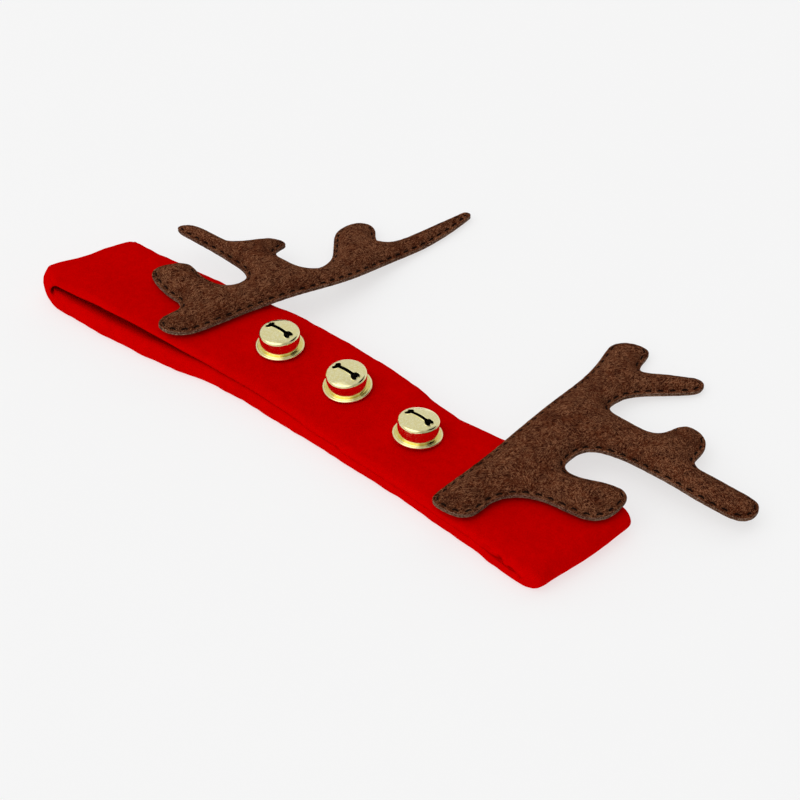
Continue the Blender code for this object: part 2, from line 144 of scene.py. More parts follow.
# Antlers
FELT = 0.0015
PADDED_HALF = 0.0032  # one felt with its half of the padding
HALVES = (
    # name, side of the seam, how much thicker than the solid, steps of finer meshing
    ("front", 1, 0.0004, 2),
    ("back", -1, -0.0002, 1),
)
DROOP_REACH = 0.085  # how far from the band the antlers come to lie on the floor
DROOP_START = 0.004
SEAM_GAP = 0.0003
REST_GAP = 0.0003
STITCH_INSET = 0.0015  # from the cut edge to the stitching
STITCH_PERIOD = 0.0049
STITCH_DASH = 0.0024
THREAD = 0.00065
EDGE_CURL = 0.0014  # how far the stitched edge hangs below the middle
EDGE_CURL_REACH = 0.006
EDGE_ROUNDING = (
    # distance from the cut edge, height
    (0.0, -0.00085),
    (0.0005, -0.00050),
    (0.0012, -0.00020),
    (0.0022, 0.0),
)
CUT_EDGE_ROWS = (
    # share of the felt's height, how far out
    (0.70, 0.00006),
    (0.40, 0.00007),
    (0.14, 0.00002),
    (0.0, -0.00016),
)
STITCH_GROOVE = 0.00030
STITCH_GROOVE_WIDTH = 0.0007
STITCH_HOLE = 0.00065
STITCH_DIP = 0.00060  # between the two holes
STITCH_DENT_WIDTH = 0.0008
STITCH_PROFILE = (
    # share of the stitch's length, height over the felt
    (0.00, -0.00070),
    (0.10, -0.00020),
    (0.28, 0.00010),
    (0.50, 0.00018),
    (0.72, 0.00010),
    (0.90, -0.00020),
    (1.00, -0.00070),
)
SHEET_STEP = 0.0016
EDGE_STEP = 0.0012
SIMULATED_SIZE = 10.0  # the cloth runs this many times larger, where the solver behaves well
SWELL_FRAMES = 30
SWELL_DRIFT = 0.0012  # how far a point may move sideways
SWELL_CLOTH = {
    "quality": 6,
    "mass": 0.4,
    "tension_stiffness": 30,
    "compression_stiffness": 30,
    "shear_stiffness": 15,
    "bending_stiffness": 4.0,
    "tension_damping": 15,
    "bending_damping": 2,
    "air_damping": 4,
    "shrink_min": 0.0,
    "shrink_max": -0.10,
    "use_pressure": True,
    "uniform_pressure_force": 6.0,
}

# Bells
BELL_STEPS = 96
BELL_RADIUS = 0.00805
BELL_HEIGHT = 0.0084
BELL_SIDE = 0.0057
BELL_SHOULDER = 0.0013
BELL_WALL = 0.0005
FLANGE_RADIUS = 0.00975
FLANGE_THICK = 0.0011
FLANGE_GROOVE = (
    # out from the side, height: the turn between the side and the rolled rim
    (0.00003, 0.00030),
    (0.00012, 0.00010),
    (0.00030, 0.00000),
)
BACK_DEPTH = 0.0024
FLANGE_LIFT = 0.0005
LUG_WIDTH = 0.0036
LUG_THICK = 0.0008
LUG_DROP = 0.0021
LUG_HOLE = 0.0015
LUG_STEPS = 32
SLOT_LENGTH = 0.0124
SLIT_WIDTH = 0.0018
SLOT_QUARTER = (
    # share of half the length, width as a multiple of half the slit
    (0.08, 1.0),
    (0.24, 1.0),
    (0.40, 1.0),
    (0.52, 1.1),
    (0.58, 1.6),
    (0.66, 2.1),
    (0.77, 2.3),
    (0.88, 2.2),
    (0.97, 1.7),
    (1.00, 1.1),
    (0.98, 0.6),
    (0.94, 0.3),
)
BURR = 0.00017  # radius of the raised edge round the slot
POCKET_GAP = 0.0003
BELLS = (
    # name, along, across, lean
    ("bell_left", -0.206, 0.075, -1.0),
    ("bell_middle", 0.063, 0.070, -5.0),
    ("bell_right", 0.355, 0.093, 6.0),
)

# Camera, at the photograph's angle
LOOK_AT = (0.02056, 0.02907, 0.0)
CAMERA_AZIMUTH = 40.61
CAMERA_ELEVATION = 40.50
CAMERA_DISTANCE = 0.862
CAMERA_LENS = 99.0
SENSOR = 36.0

# Colours, as linear red, green and blue
GOLD_WORN = (0.91, 0.82, 0.40)
GOLD_BRIGHT = (0.97, 0.92, 0.56)
FLEECE_DARK = (0.56, 0.0, 0.0)
FLEECE_LIGHT = (0.66, 0.0, 0.0)
FELT_LIGHT = (0.110, 0.021, 0.006)
FELT_DARK = (0.048, 0.006, 0.002)
FELT_FLECK = (0.42, 0.175, 0.085)
FELT_SHADOW = (0.020, 0.003, 0.001)
# The cut edge's colours are lighter than the felt's own: a painted highlight, drawn as if the cut edge
# caught the light
PAINTED_LIT_EDGE_LIGHT = (0.20, 0.085, 0.045)
PAINTED_LIT_EDGE_DARK = (0.10, 0.036, 0.018)
PAINTED_LIT_EDGE_FLECK = (0.50, 0.32, 0.22)
THREAD_DARK = (0.006, 0.002, 0.001)
THREAD_LIGHT = (0.022, 0.008, 0.005)
TARNISH_DARK = (0.020, 0.016, 0.010)
TARNISH_LIGHT = (0.07, 0.055, 0.03)
STEEL_DARK = (0.22, 0.21, 0.20)
STEEL_LIGHT = (0.42, 0.41, 0.39)

# Finish of the cloths, the same all over each
FLEECE_FINISH = {
    "Roughness": 0.95,
    "Specular IOR Level": 0.0,
    "Sheen Weight": 0.15,
    "Sheen Roughness": 0.6,
    "Sheen Tint": (0.8, 0.0, 0.0, 1.0),
}
FELT_FINISH = {
    "Roughness": 0.95,
    "Specular IOR Level": 0.0,
    "Sheen Weight": 0.02,
    "Sheen Roughness": 0.5,
    "Sheen Tint": (0.8, 0.45, 0.28, 1.0),
}
FIBRE_LAYERS = (
    # turn in degrees, offset in millimetres
    (100, 3.0),
    (75, 11.0),
    (128, 23.0),
    (20, 37.0),
)

# Light: the sky's brightness, and soft patches of it that are lighter or darker
SKY_BACK = 0.70
SKY_FRONT = 0.38
FLOOR_GREY = 0.34
FLOOR_GLOW = 0.655
SKY_PATCHES = (
    # right, front and up from the object as the camera sees it, cosine at the patch's edge
    # and where it is full, and how much it adds
    (-0.42, 0.52, 0.74, 0.72, 0.94, 1.05),
    (0.75, -0.13, 0.65, 0.90, 0.965, -0.60),
)
FILL_PLACE = (-0.60, -0.95, 0.72)
FILL_SIZE = 1.6
FILL_POWER = 1.0


# Shader nodes


def fill(tree, made, values):
    """Links a node's inputs to other nodes, or sets them to what is the same all over."""
    for key, value in values.items():
        if isinstance(value, bpy.types.NodeSocket):
            tree.links.new(value, made.inputs[key])
        else:
            made.inputs[key].default_value = value


def node(tree, kind, values=None, **settings):
    """A shader node with its settings made and its inputs filled."""
    made = tree.nodes.new("ShaderNode" + kind)
    for key, value in settings.items():
        setattr(made, key, value)
    fill(tree, made, values or {})
    return made


def new_material(name):
    """A material with its tree, its shader and the object's coordinates in millimetres."""
    made = bpy.data.materials.new(name)
    made.use_nodes = True
    tree = made.node_tree
    place = node(tree, "TexCoord").outputs["Object"]
    place = node(tree, "Mapping", {"Vector": place, "Scale": (1000, 1000, 1000)}).outputs[0]
    return made, tree, tree.nodes["Principled BSDF"], place


def noise_of(tree, vector, scale, detail=2.0, roughness=0.5, distortion=0.0):
    values = {"Vector": vector, "Scale": scale, "Detail": detail}
    values |= {"Roughness": roughness, "Distortion": distortion}
    return node(tree, "TexNoise", values).outputs["Fac"]


def stretch(tree, vector, turn, along, across):
    """Coordinates turned in plan and stretched, so that noise read there runs as streaks."""
    turned = node(tree, "Mapping", {"Vector": vector, "Rotation": (0, 0, math.radians(turn))})
    size = (1 / along, 1 / across, 1 / across)
    return node(tree, "Mapping", {"Vector": turned.outputs[0], "Scale": size}).outputs[0]


def rescale(tree, value, low, high, to_low=0.0, to_high=1.0):
    values = {"Value": value, "From Min": low, "From Max": high, "To Min": to_low, "To Max": to_high}
    return node(tree, "MapRange", values, interpolation_type="SMOOTHSTEP").outputs[0]


def sum_of(tree, *terms):
    """Weighted sum of (value, weight) pairs."""
    total, *others = [product(tree, value, weight) for value, weight in terms]
    for other in others:
        total = combine(tree, "ADD", total, other)
    return total


def combine(tree, operation, a, b):
    return node(tree, "Math", {0: a, 1: b}, operation=operation).outputs[0]


def product(tree, a, b):
    return combine(tree, "MULTIPLY", a, b)


def larger(tree, a, b):
    return combine(tree, "MAXIMUM", a, b)


def blend_colour(tree, share, low, high):
    low, high = [c if isinstance(c, bpy.types.NodeSocket) else (*c, 1.0) for c in (low, high)]
    return node(tree, "Mix", {0: share, 6: low, 7: high}, data_type="RGBA").outputs[2]


def add_bump(tree, shader, height, distance):
    bump = node(tree, "Bump", {"Height": height, "Distance": distance, "Strength": 1.0})
    tree.links.new(bump.outputs[0], shader.inputs["Normal"])


def fleece_material():
    made, tree, shader, place = new_material("red fleece")
    pile = noise_of(tree, place, 1.4, 3.0, 0.65)
    clump = noise_of(tree, place, 0.35, 2.0, 0.5)
    broad = noise_of(tree, place, 0.045, 1.0, 0.5)
    tone = sum_of(tree, (pile, 0.45), (clump, 0.35), (broad, 0.2))
    colour = blend_colour(tree, rescale(tree, tone, 0.35, 0.65), FLEECE_DARK, FLEECE_LIGHT)
    fill(tree, shader, {"Base Color": colour, **FLEECE_FINISH})
    add_bump(tree, shader, sum_of(tree, (pile, 0.5), (clump, 0.5)), 0.00022)
    return made


def felt_material(name, light, dark, fleck, shadow):
    """Needled felt: short fibres lying several ways, some lighter and some darker than the rest."""
    made, tree, shader, place = new_material(name)
    layers = []
    for turn, offset in FIBRE_LAYERS:
        shift = {"Vector": place, "Location": (offset, offset * 1.7, 0)}
        moved = node(tree, "Mapping", shift).outputs[0]
        streak = noise_of(tree, stretch(tree, moved, turn, 2.0, 0.34), 1.0, 2.0, 0.55, 0.35)
        mask = rescale(tree, noise_of(tree, moved, 0.14, 1.0), 0.34, 0.54)
        layers.append((streak, mask))
    fibres = None
    for streak, mask in layers:
        level = rescale(tree, streak, 0.53, 0.66)
        level = product(tree, level, sum_of(tree, (mask, 0.75), (level, 0.25)))
        fibres = level if fibres is None else larger(tree, fibres, level)
    dark_marks = None
    for streak, _ in layers[1:]:
        level = rescale(tree, streak, 0.47, 0.34)
        dark_marks = level if dark_marks is None else larger(tree, dark_marks, level)
    broad = noise_of(tree, place, 0.22, 3.0, 0.6)
    base = blend_colour(tree, rescale(tree, broad, 0.35, 0.65), dark, light)
    darker = blend_colour(tree, product(tree, dark_marks, 0.85), base, shadow)
    colour = blend_colour(tree, product(tree, fibres, 0.85), darker, fleck)
    fill(tree, shader, {"Base Color": colour, **FELT_FINISH})
    fine = noise_of(tree, place, 2.2, 2.0, 0.6)
    height = sum_of(tree, (fibres, 0.5), (dark_marks, -0.35), (fine, 0.35), (broad, 0.3))
    add_bump(tree, shader, height, 0.0003)
    return made


def thread_material():
    made, tree, shader, place = new_material("dark brown thread")
    twist = noise_of(tree, stretch(tree, place, 35, 0.8, 0.15), 1.0, 1.0)
    colour = blend_colour(tree, twist, THREAD_DARK, THREAD_LIGHT)
    fill(tree, shader, {"Base Color": colour, "Roughness": 0.9, "Specular IOR Level": 0.05})
    add_bump(tree, shader, twist, 0.00008)
    return made


def gold_material():
    made, tree, shader, place = new_material("pale gold plate")
    waves = noise_of(tree, place, 0.22, 1.0, 0.4)
    fine = noise_of(tree, place, 1.3, 2.0, 0.5)
    worn = rescale(tree, fine, 0.35, 0.75)
    colour = blend_colour(tree, worn, GOLD_WORN, GOLD_BRIGHT)
    roughness = rescale(tree, fine, 0.2, 0.8, 0.10, 0.16)
    fill(tree, shader, {"Base Color": colour, "Metallic": 1.0, "Roughness": roughness})
    add_bump(tree, shader, sum_of(tree, (waves, 0.95), (fine, 0.05)), 0.00010)
    return made


def tarnish_material():
    made, tree, shader, place = new_material("tarnished inside")
    patches = noise_of(tree, place, 0.8, 3.0, 0.6)
    colour = blend_colour(tree, patches, TARNISH_DARK, TARNISH_LIGHT)
    fill(tree, shader, {"Base Color": colour, "Metallic": 0.6, "Roughness": 0.6})
    return made


def steel_material():
    made, tree, shader, place = new_material("ball steel")
    scuffs = noise_of(tree, stretch(tree, place, 30, 1.5, 0.3), 1.0, 3.0, 0.6)
    colour = blend_colour(tree, scuffs, STEEL_DARK, STEEL_LIGHT)
    roughness = rescale(tree, scuffs, 0.2, 0.8, 0.25, 0.5)
    fill(tree, shader, {"Base Color": colour, "Metallic": 1.0, "Roughness": roughness})
    add_bump(tree, shader, scuffs, 0.00005)
    return made


# Meshes


def mesh_object(name, points, faces, looks):
    mesh = bpy.data.meshes.new(name)
    mesh.from_pydata([tuple(p) for p in points], [], [tuple(f) for f in faces])
    for look in looks:
        mesh.materials.append(look)
    mesh.polygons.foreach_set("use_smooth", [True] * len(mesh.polygons))
    made = bpy.data.objects.new(name, mesh)
    bpy.context.scene.collection.objects.link(made)
    return made


def rows_of(items, key):
    found = np.empty(len(items) * 3, np.float32)
    items.foreach_get(key, found)
    return found.reshape(-1, 3).astype(float)


def points_of(mesh):
    return rows_of(mesh.vertices, "co")


def normals_of(mesh):
    return rows_of(mesh.vertex_normals, "vector")


def set_points(mesh, points):
    mesh.vertices.foreach_set("co", np.asarray(points, np.float32).ravel())
    mesh.update()


def noise_at(points, size, seed=0.0):
    """Smooth noise from -1 to 1 at each point, with features of about this size."""
    return np.array([noise.noise(Vector(p) / size + Vector((seed, seed * 1.3, -seed))) for p in points])


def column_at(rows, column, place):
    """A column of a table, read between its rows at a place in its first column."""
    return np.interp(place, [row[0] for row in rows], [row[column] for row in rows])


def smoothstep(low, high, value):
    share = np.clip((value - low) / (high - low), 0, 1)
    return share * share * (3 - 2 * share)


def evaluated_copy(made):
    """Applies the modifiers of an object to its mesh."""
    graph = bpy.context.evaluated_depsgraph_get()
    mesh = bpy.data.meshes.new_from_object(made.evaluated_get(graph))
    made.modifiers.clear()
    old = made.data
    made.data = mesh
    bpy.data.meshes.remove(old)
    return made


# Band


def section_at(share, column):
    """A column of BAND_SECTIONS at a share of half the length, eased between its rows."""
    rows = BAND_SECTIONS
    share = min(max(share, rows[0][0]), rows[-1][0])
    for low, high in zip(rows, rows[1:]):
        if share <= high[0]:
            step = (share - low[0]) / (high[0] - low[0])
            step = step * step * (3 - 2 * step) * 0.5 + step * 0.5
            return low[column] + (high[column] - low[column]) * step
    return rows[-1][column]


def hollow_at(x):
    return BAND_HOLLOW * section_at(2 * x / BAND_LENGTH, 1)


def bow_at(x):
    return BAND_BOW * section_at(2 * x / BAND_LENGTH, 2)


def width_at(x):
    return BAND_WIDTH * section_at(2 * x / BAND_LENGTH, 3)


def shift_at(x):
    return BAND_SHIFT * section_at(2 * x / BAND_LENGTH, 4)


def end_at(x, across):
    """How far a point is pushed along the band by the shape of the nearer end."""
    inside = BAND_LENGTH / 2 - BAND_END_REACH
    share = min(max((abs(x) - inside) / BAND_END_REACH, 0), 1)
    out = column_at(BAND_ENDS, 1 if x < 0 else 2, across)
    return math.copysign(1, x) * share * share * (3 - 2 * share) * out * BAND_WIDTH


def band_top(x, y):
    return 2 * BAND_LAYER + hollow_at(x - BAND_SLANT * (y - bow_at(x)))


def fold(x, radius, side, steps):
    """The turn at one end: rising on the left, side -1, and falling on the right, side 1."""
    rows = []
    for i in range(1, steps):
        angle = math.pi * i / steps
        out = (side * math.sin(angle), side * math.cos(angle))
        level = i / steps if side < 0 else 1 - i / steps
        rows.append((x + radius * out[0], BAND_LAYER / 2 + radius * (1 + out[1]), *out, level))
    return rows


def band_path():
    """The loop's middle line in side view, as (x, z, outward x, outward z, level from 0 to 1)."""
    half = BAND_LENGTH / 2
    ends = []
    for side in (-1, 1):
        turn = (BAND_LAYER + hollow_at(side * half)) / 2
        ends.append((side * (half - BAND_LAYER / 2 - turn), turn))
    (left, left_turn), (right, right_turn) = ends
    count = round((right - left) / BAND_STEP)
    path = []
    for i in range(count + 1):
        path.append((right + (left - right) * i / count, BAND_LAYER / 2, 0.0, -1.0, 0.0))
    path += fold(left, left_turn, -1, LEFT_FOLD_STEPS)
    for i in range(count + 1):
        x = left + (right - left) * i / count
        path.append((x, BAND_LAYER * 1.5 + hollow_at(x), 0.0, 1.0, 1.0))
    return path + fold(right, right_turn, 1, RIGHT_FOLD_STEPS)


def band_section():
    radius = BAND_LAYER / 2
    flat = BAND_WIDTH / 2 - radius
    steps = round(2 * flat / BAND_STEP)
    points = []
    for side in (1, -1):
        for i in range(EDGE_STEPS):
            angle = math.pi * (i + 0.5) / EDGE_STEPS
            points.append((side * (flat + radius * math.sin(angle)), side * radius * math.cos(angle)))
        for i in range(steps + 1):
            points.append((side * flat * (1 - 2 * i / steps), -side * radius))
    return points


def bell_place(along, across, lean):
    """The bell's frame: origin at the middle of its flange, Z out of its dome."""
    x = along * BAND_LENGTH / 2
    y = bow_at(x) + across * BAND_WIDTH / 2
    z = band_top(x, y) + FLANGE_LIFT
    return Matrix.Translation((x, y, z)) @ Matrix.Rotation(math.radians(-lean), 4, "X")


def back_circle():
    depth = BACK_DEPTH - FLANGE_THICK / 2
    return (BELL_RADIUS**2 + depth**2) / (2 * depth)


def under_bell(radius):
    """How high the fleece may reach under a bell, in the bell's own frame."""
    gap = POCKET_GAP
    curve = back_circle() + gap
    bowl = back_circle() - BACK_DEPTH - np.sqrt(np.maximum(curve**2 - radius**2, 0))
    limit = np.minimum(bowl, -FLANGE_THICK / 2 - gap)
    well = math.hypot(LUG_WIDTH, LUG_THICK) / 2 + gap
    limit = np.where(radius < well, -BACK_DEPTH - LUG_DROP - gap, limit)
    rim = FLANGE_RADIUS + gap
    return np.where(radius > rim, limit + (radius - rim) * 0.9, limit)


def mouth_at(x, column):
    return column_at(BAND_MOUTH, column, 2 * x / BAND_LENGTH)


def pressed(across, out, square):
    """A point of the section with the inner half of its rounded edge pressed square."""
    radius = BAND_LAYER / 2
    beyond = abs(across) - (BAND_WIDTH / 2 - radius)
    if beyond <= 0 or out >= 0:
        return across, out
    power = 1 - 0.75 * square
    beyond = radius * (beyond / radius) ** power - beyond
    return across + math.copysign(beyond, across), -radius * (-out / radius) ** power


def make_band(look):
    path = band_path()
    section = band_section()
    half = BAND_WIDTH / 2
    points = []
    inward = []
    for x, z, out_x, out_z, level in path:
        middle = bow_at(x) - shift_at(x) * (1 - level)
        gap, fuller, square, back = [mouth_at(x, column) for column in (1, 2, 3, 4)]
        thicker = fuller * (1 - level) + (hollow_at(x) - gap - fuller) * level
        turn = math.sin(math.pi * level) if x < 0 else 0.0
        thicker = thicker * (1 - turn) - TURN_THIN * turn
        rise = turn * (fuller - (hollow_at(x) - gap) / 2)
        for across, out in section:
            inward.append(out < -0.6 * BAND_LAYER / 2)
            across, out = pressed(across, out, square)
            inner = 0.5 - out / BAND_LAYER
            near = smoothstep(half - EDGE_REACH, half - 0.002, abs(across))
            fall = level * CROWN_DROP * max(1 - (half - abs(across)) / CROWN_REACH, 0) ** 2
            out -= inner * (near * thicker - fall)
            aside = across * width_at(x) / BAND_WIDTH
            if across < 0:
                draw = level * back + (1 - level) * inner * square * shift_at(x)
                aside += draw * smoothstep(0, half, -across)
            along = x + out * out_x + BAND_SLANT * aside + end_at(x, 2 * across / BAND_WIDTH)
            points.append((along, middle + aside, z + out * out_z - fall + inner * near * rise))
    count = len(section)
    faces = []
    for i in range(len(path)):
        here = i * count
        after = (i + 1) % len(path) * count
        for j in range(count):
            k = (j + 1) % count
            faces.append((here + j, after + j, after + k, here + k))
    band = mesh_object("band_fleece", points, faces, [look])
    mesh = band.data
    points = points_of(mesh)
    normals = normals_of(mesh)
    if (normals[:, 2] * np.sign(points[:, 2] - BAND_LAYER)).mean() < 0:
        mesh.flip_normals()
        normals = normals_of(mesh)

    across = np.array([abs(a) for _ in path for a, _ in section])
    edge = smoothstep(BAND_WIDTH / 2 - 0.009, BAND_WIDTH / 2 - 0.001, across)
    broad, middling, along_edge, fine = [
        height * noise_at(points, size, seed + 1.0) for seed, (height, size) in enumerate(FLEECE_WAVES)
    ]
    lift = FLEECE_SINK + broad + middling
    lift += edge * along_edge
    lift += fine
    lift[inward] = 0
    points += normals * lift[:, None]

    normals = normals_of(mesh)
    for *place, depth, width in BAND_DENTS:
        start, end = np.array(place[:3]), np.array(place[3:])
        share = np.clip((points - start) @ (end - start) / ((end - start) ** 2).sum(), 0, 1)
        gone = np.linalg.norm(points - start - share[:, None] * (end - start), axis=1)
        points -= normals * (depth * np.exp(-((gone / width) ** 2)))[:, None]

    for _, along, offset, lean in BELLS:
        place = bell_place(along, offset, lean)
        into = np.array(place.inverted())
        local = points @ into[:3, :3].T + into[:3, 3]
        radius = np.linalg.norm(local[:, :2], axis=1)
        above = points[:, 2] > BAND_LAYER + 0.004
        dip = BELL_DIP * np.exp(-((radius / BELL_DIP_WIDTH) ** 2))
        points[:, 2] -= np.where(above, dip, 0)
        local = points @ into[:3, :3].T + into[:3, 3]
        limit = under_bell(radius)
        lower = np.where(above & (local[:, 2] > limit) & (radius < 0.014), limit - local[:, 2], 0)
        points += np.outer(lower, np.array(place)[:3, 2])
    points[:, 2] = np.maximum(points[:, 2], 0.00005)
    set_points(mesh, points)
    return band


# Antlers


def cad_outline(node_name):
    """The felt's edge in plan, in order round the underside of the CAD half."""
    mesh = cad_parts[node_name].data
    keys = [tuple(k) for k in np.round(points_of(mesh)[:, :2], 5)]
    pairs = set()
    for face in mesh.polygons:
        if face.normal.z < -0.7:
            ring = [keys[i] for i in reversed(face.vertices)]
            pairs.update(zip(ring, ring[1:] + ring[:1]))
    after = {a: b for a, b in pairs if (b, a) not in pairs}
    loop = [min(after)]
    for _ in range(len(after) - 1):
        loop.append(after[loop[-1]])
    if after[loop[-1]] != loop[0]:
        raise ValueError(f"the edge of {node_name} isn't one closed line")
    return np.array(loop)


def rounded_loop(loop, step):
    """A smooth closed line through the loop's points, at even distances."""
    fine = []
    count = len(loop)
    for i in range(count):
        a, b, c, d = (loop[(i + k) % count] for k in (-1, 0, 1, 2))
        for k in range(12):
            t = k / 12
            bend = 2 * a - 5 * b + 4 * c - d
            twist = 3 * b - 3 * c + d - a
            fine.append(0.5 * (2 * b + (c - a) * t + bend * t**2 + twist * t**3))
    fine = np.array(fine + [fine[0]])
    run = np.concatenate([[0], np.cumsum(np.linalg.norm(np.diff(fine, axis=0), axis=1))])
    places = np.arange(round(run[-1] / step)) * run[-1] / round(run[-1] / step)
    return np.stack([np.interp(places, run, fine[:, i]) for i in (0, 1)], axis=1)


def edge_distance(points, edge):
    """Distance from each point to the outline, negative outside it."""
    found = []
    start = edge
    side = np.roll(edge, -1, axis=0) - start
    rise = np.where(side[:, 1] == 0, 1, side[:, 1])
    length = (side**2).sum(-1)
    low = start[:, 1]
    high = low + side[:, 1]
    for group in np.array_split(points, max(1, len(points) // 2000)):
        to = group[:, None] - start[None]
        share = np.clip((to * side).sum(-1) / length, 0, 1)
        near = np.linalg.norm(to - share[..., None] * side, axis=-1).min(axis=1)
        y = group[:, None, 1]
        crosses = (low <= y) != (high <= y)
        at = start[:, 0] + (y - low) / rise * side[:, 0]
        inside = (crosses & (group[:, None, 0] < at)).sum(axis=1) % 2 == 1
        found.append(np.where(inside, near, -near))
    return np.concatenate(found)


def inset_ring(edge, inset, step):
    """Points at this distance inside the outline."""
    before = np.roll(edge, 1, axis=0)
    after = np.roll(edge, -1, axis=0)
    along = after - before
    along /= np.linalg.norm(along, axis=1)[:, None]
    inward = np.stack([-along[:, 1], along[:, 0]], axis=1)
    ring = edge + inward * inset
    ring = ring[edge_distance(ring, edge) > inset - 0.00012]
    kept = [ring[0]]
    for point in ring[1:]:
        if np.linalg.norm(point - kept[-1]) >= step:
            kept.append(point)
    if np.linalg.norm(kept[0] - kept[-1]) < step * 0.6:
        kept.pop()
    return np.array(kept)


def hex_grid(low, high, step):
    row_step = step * math.sqrt(0.75)
    grid = []
    for j in range(int((high[1] - low[1]) / row_step) + 2):
        for i in range(int((high[0] - low[0]) / step) + 2):
            grid.append((low[0] + step * (i + 0.5 * (j % 2)), low[1] + row_step * j))
    return np.array(grid)


def triangulated(edge, inside):
    """Triangles between the outline and points inside it. The outline's points come first."""
    points = [Vector(p) for p in np.concatenate([edge, inside])]
    found = delaunay_2d_cdt(points, [], [list(range(len(edge)))], 1, 1e-8)
    return np.array([tuple(p) for p in found[0]]), [tuple(f) for f in found[2]]


def antler_height(x, y):
    """The seam's height: on top of the band, then sagging to the floor behind it."""
    half = SEAM_GAP / 2 + PADDED_HALF + REST_GAP
    on_band = band_top(x, y) + half
    behind = max(y - bow_at(x) - width_at(x) / 2 + DROOP_START, 0)
    beside = max(x - BAND_LENGTH / 2 + DROOP_START, 0)
    share = min(math.hypot(behind, beside) / DROOP_REACH, 1)
    return on_band + (half - on_band) * share * share * (3 - 2 * share)


def sheet_plan(edge):
    """The flat felt as triangles: close rings along the cut edge and the stitches, and an even grid."""
    rings = [inset_ring(edge, 0.0005, 0.0010), inset_ring(edge, 0.0015, 0.0012)]
    rings.append(inset_ring(edge, STITCH_INSET, 0.0012))
    grid = hex_grid(edge.min(axis=0), edge.max(axis=0), SHEET_STEP)
    grid = grid[edge_distance(grid, edge) > STITCH_INSET + 0.0009]
    return triangulated(edge, np.concatenate(rings + [grid]))


def swell(plan, faces, pinned, slack, cap):
    """Blows the padding up under a felt sheet that its stitching holds down.

    Returns how far each point moves."""
    large = SIMULATED_SIZE
    points = [(x * large, y * large, 0.0) for x, y in plan]
    made = mesh_object("felt_in_the_making", points, faces, [])
    pin = made.vertex_groups.new(name="stitched")
    pin.add([int(i) for i in np.flatnonzero(pinned)], 1.0, "REPLACE")
    loose = made.vertex_groups.new(name="eased")
    for i, share in enumerate(slack):
        loose.add([i], float(share), "REPLACE")
    cloth = made.modifiers.new("cloth", "CLOTH")
    for key, value in SWELL_CLOTH.items():
        setattr(cloth.settings, key, value)
    cloth.settings.vertex_group_mass = "stitched"
    cloth.settings.vertex_group_shrink = "eased"
    cloth.settings.effector_weights.gravity = 0.0
    cloth.collision_settings.use_collision = False
    cloth.point_cache.frame_start = 1
    cloth.point_cache.frame_end = SWELL_FRAMES
    scene = bpy.context.scene
    for step in range(1, SWELL_FRAMES + 1):
        scene.frame_set(step)
    graph = bpy.context.evaluated_depsgraph_get()
    shaped = made.evaluated_get(graph).to_mesh()
    moved = points_of(shaped) / large
    made.evaluated_get(graph).to_mesh_clear()
    bpy.data.objects.remove(made, do_unlink=True)
    scene.frame_set(1)
    offset = moved - np.column_stack([plan, np.zeros(len(plan))])
    offset[pinned] = 0
    if np.median(offset[:, 2]) < 0:
        offset[:, 2] *= -1
    rise = offset[:, 2]
    offset *= cap / np.percentile(rise, 92)
    over = np.maximum(offset[:, 2] - cap, 0)
    offset[:, 2] = np.minimum(offset[:, 2], cap) + over / (1 + over / 0.0003)
    offset[:, 2] = np.maximum(offset[:, 2], -0.0006)
    flat = np.linalg.norm(offset[:, :2], axis=1)
    offset[:, :2] *= (np.minimum(flat, SWELL_DRIFT) / np.maximum(flat, 1e-9))[:, None]
    return offset


def make_half(name, edge, side, depth, fine, looks):
    """The swollen outer face of one felt half, still flat on its seam."""
    plan, faces = sheet_plan(edge)
    distance = np.maximum(edge_distance(plan, edge), 0)
    pinned = distance < STITCH_INSET + 0.0004
    cap = depth - FELT
    wave = noise_at(np.column_stack([plan, np.zeros(len(plan))]), 0.020, 5.0 + side)
    slack = np.clip(0.45 + 0.55 * wave + 0.5 * smoothstep(0.012, 0.004, distance), 0, 1)
    offset = swell(plan, faces, pinned, slack, cap)
    rounding = column_at(EDGE_ROUNDING, 1, distance)
    points = np.column_stack([plan, FELT + rounding]) + offset
    sheet = mesh_object(name, points, faces, looks)
    subdivide = sheet.modifiers.new("finer", "SUBSURF")
    subdivide.levels = fine
    subdivide.boundary_smooth = "ALL"
    evaluated_copy(sheet)
    return sheet


def rim_loop(mesh):
    """The points of the sheet's free edge, in order round it."""
    shaped = bmesh.new()
    shaped.from_mesh(mesh)
    after = {}
    for edge in shaped.edges:
        if edge.is_boundary:
            loop = edge.link_loops[0]
            after[loop.vert.index] = loop.link_loop_next.vert.index
    shaped.free()
    ring = [min(after)]
    for _ in range(len(after) - 1):
        ring.append(after[ring[-1]])
    return ring


def press_stitches(points, distance, stitches):
    """The dent along the stitching, deepest where the thread goes through."""
    away = (distance - STITCH_INSET) / STITCH_GROOVE_WIDTH
    points[:, 2] -= STITCH_GROOVE * np.exp(-(away**2))
    for start, end in stitches:
        for place, depth in ((start, STITCH_HOLE), (end, STITCH_HOLE), ((start + end) / 2, STITCH_DIP)):
            near = np.flatnonzero(np.abs(points[:, :2] - place).max(axis=1) < 0.0022)
            gone = np.linalg.norm(points[near, :2] - place, axis=1)
            points[near, 2] -= depth * np.exp(-((gone / STITCH_DENT_WIDTH) ** 2))


